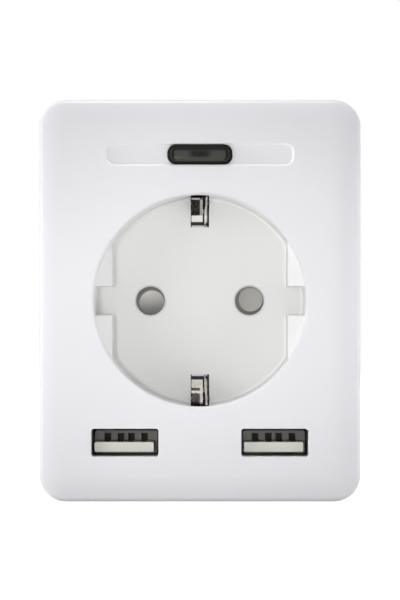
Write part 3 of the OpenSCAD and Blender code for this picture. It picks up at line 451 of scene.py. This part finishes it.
def put_in_scene(obj):
    bpy.context.scene.collection.objects.link(obj)
    return obj


def shutter_pad(name, material, x, z, radius, edge=0.15 * MM, depth=1.9 * MM, steps=5, sides=64):
    """Round pad with a rolled edge on a wing of the shutter. Its back is sunk into the wing."""
    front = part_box("shutter")[0][1]
    turns = [math.pi / 2 * k / steps for k in range(steps + 1)]
    rolled = [(radius - edge + edge * math.sin(a), edge - edge * math.cos(a)) for a in turns]
    profile = rolled + [(radius, depth)]
    angles = [2 * math.pi * k / sides for k in range(sides)]
    points = [(x + r * math.cos(a), front + y, z + r * math.sin(a)) for r, y in profile for a in angles]
    rings = [range(i * sides, (i + 1) * sides) for i in range(len(profile))]
    wall = [(low[k - 1], low[k], high[k], high[k - 1])
            for low, high in zip(rings, rings[1:]) for k in range(sides)]
    caps = [tuple(reversed(rings[0])), tuple(rings[-1])]
    mesh = bpy.data.meshes.new(name)
    mesh.from_pydata(points, [], wall + caps)
    for face in mesh.polygons[:len(wall)]:
        face.use_smooth = True
    mesh.materials.append(material)
    pad = put_in_scene(bpy.data.objects.new(name, mesh))
    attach(pad, "shutter")


# Painted light and shade: the left pad is pale at its top and dark at its bottom
PAD_PAINTED_SHADING = pad_painted_light_and_shade("pad_painted_shading_plastic", low=-2.6 * MM, high=2.4 * MM)
shutter_pad("shutter_pad_left", PAD_PAINTED_SHADING, x=-9.22 * MM, z=-0.42 * MM, radius=2.5 * MM)
shutter_pad("shutter_pad_right", SHUTTER_GREY, x=9.72 * MM, z=0.25 * MM, radius=2.42 * MM)


def build_world(strength):
    """Even pale light all round, shown as white."""
    world = bpy.data.worlds.new("studio")
    bpy.context.scene.world = world
    world.cycles.sampling_method = "NONE"
    shading = Shading(world)
    white = (1, 1, 1, 1)
    lit, seen = (shading.node("Background", None, {"Color": white, "Strength": level})
                 for level in (strength, 1.0))
    shading.node("OutputWorld", None, {"Surface": shading.studio(lit, seen)})


def build_floor(height, half, own_light, paper, bounce):
    """White floor under the object. It shows its own light plus what falls on it, so that a shadow stays.

    The tone paper is what the camera sees besides its own light. The tone bounce throws light at the object.
    """
    mesh = bpy.data.meshes.new("floor")
    corners = [(-half, -half), (half, -half), (half, half), (-half, half)]
    mesh.from_pydata([(x, y, height) for x, y in corners], [], [(0, 1, 2, 3)])
    floor = put_in_scene(bpy.data.objects.new("floor", mesh))
    floor.visible_shadow = False
    finish = Finish("floor_white")
    grain = finish.noise(30 * MM)
    lit = finish.node("BsdfDiffuse", None, {"Color": bounce + 0.04 * grain})
    dim = finish.node("BsdfDiffuse", None, {"Color": paper + 0.02 * grain})
    glow = finish.node("Emission", None, {"Color": (1, 1, 1, 1), "Strength": own_light})
    seen = finish.node("AddShader", None, {0: dim, 1: glow})
    finish.node("OutputMaterial", None, {"Surface": finish.studio(lit, seen)})
    mesh.materials.append(finish.material)


def add_lamp(name, place, aim, power, kind="AREA", mirrored=True, **settings):
    """Lamp that faces a point. One that isn't mirrored gives no highlight."""
    data = bpy.data.lights.new(name, kind)
    data.energy = power
    for setting, value in settings.items():
        setattr(data, setting, value)
    lamp = put_in_scene(bpy.data.objects.new(name, data))
    lamp.location = place
    lamp.visible_camera = False
    lamp.visible_glossy = mirrored
    away = [a - b for a, b in zip(place, aim)]
    tilt = math.atan2(math.hypot(away[0], away[1]), away[2])
    lamp.rotation_euler = (tilt, 0, math.atan2(away[0], -away[1]))


def add_camera(front, distance, px_per_mm, photo_px, middle_px):
    """Level camera in front of the face, which it shows at px_per_mm with its middle at middle_px."""
    data = bpy.data.cameras.new("camera")
    data.sensor_fit = "VERTICAL"
    data.sensor_height = 36.0
    data.lens = data.sensor_height * distance / (photo_px[1] / px_per_mm * MM)
    data.clip_end = 20
    camera = put_in_scene(bpy.data.objects.new("camera", data))
    right = (photo_px[0] / 2 - middle_px[0]) / px_per_mm * MM
    up = (middle_px[1] - photo_px[1] / 2) / px_per_mm * MM
    camera.location = (right, front - distance, up)
    camera.rotation_euler = (math.pi / 2, 0, 0)
    bpy.context.scene.camera = camera


# The studio: lamps on the face, near strips for its borders, and soft boxes behind for the other views
BOTTOM = cad_box[0][2]
FACE = (0, FRONT, 0)
BACK = (0, 0, 0)
FRONT_SPOT = {"kind": "SPOT", "spot_size": 0.09, "spot_blend": 1.0, "shadow_soft_size": 0.04}
EDGE_SPOT = {"kind": "SPOT", "spot_size": 0.16, "spot_blend": 1.0, "shadow_soft_size": 0.06}
STRIP_OUT = FRONT - 0.04
SIDE_STRIP = {"shape": "RECTANGLE", "size": 0.012, "size_y": 0.05}
TOP_STRIP = {"shape": "RECTANGLE", "size": 0.07, "size_y": 0.012}
BACK_BOX = {"size": 0.5, "mirrored": False}

bpy.context.scene.view_settings.view_transform = "Standard"
build_world(strength=0.168)
build_floor(BOTTOM, half=3.0, own_light=0.9, paper=0.55, bounce=0.5)
add_lamp("front_lamp", place=(-0.03, FRONT - 0.7, 0), aim=FACE, power=14.0, **FRONT_SPOT)
add_lamp("left_soft_box", place=(-0.5, FRONT - 0.6, 0.1), aim=FACE, power=0.85, size=0.4)
add_lamp("low_soft_box", place=(0.35, FRONT - 0.5, -0.35), aim=FACE, power=0.95, size=0.4)
add_lamp("top_edge_lamp", place=(-0.05, FRONT - 0.04, 0.7), aim=FACE, power=2.4, size=0.2)
add_lamp("left_edge_lamp", place=(-0.7, FRONT - 0.09, 0.1), aim=FACE, power=2.0, size=0.3)
add_lamp("right_edge_lamp", place=(0.7, FRONT - 0.03, 0), aim=(0.03, FRONT, 0), power=12.0, **EDGE_SPOT)
add_lamp("left_strip", place=(-0.062, STRIP_OUT, 0), aim=(-0.026, FRONT, 0), power=0.006, **SIDE_STRIP)
add_lamp("right_strip", place=(0.062, STRIP_OUT, 0), aim=(0.026, FRONT, 0), power=0.0055, **SIDE_STRIP)
add_lamp("top_strip", place=(0, STRIP_OUT, 0.07), aim=(0, FRONT, 0.034), power=0.0033, **TOP_STRIP)
add_lamp("back_left_soft_box", place=(-0.3, 0.85, 0.3), aim=BACK, power=2.7, **BACK_BOX)
add_lamp("back_right_soft_box", place=(0.3, 0.8, 0.25), aim=BACK, power=2.3, **BACK_BOX)
add_camera(FRONT, distance=0.6, px_per_mm=5.368, photo_px=(400, 600), middle_px=(199.9, 300.8))
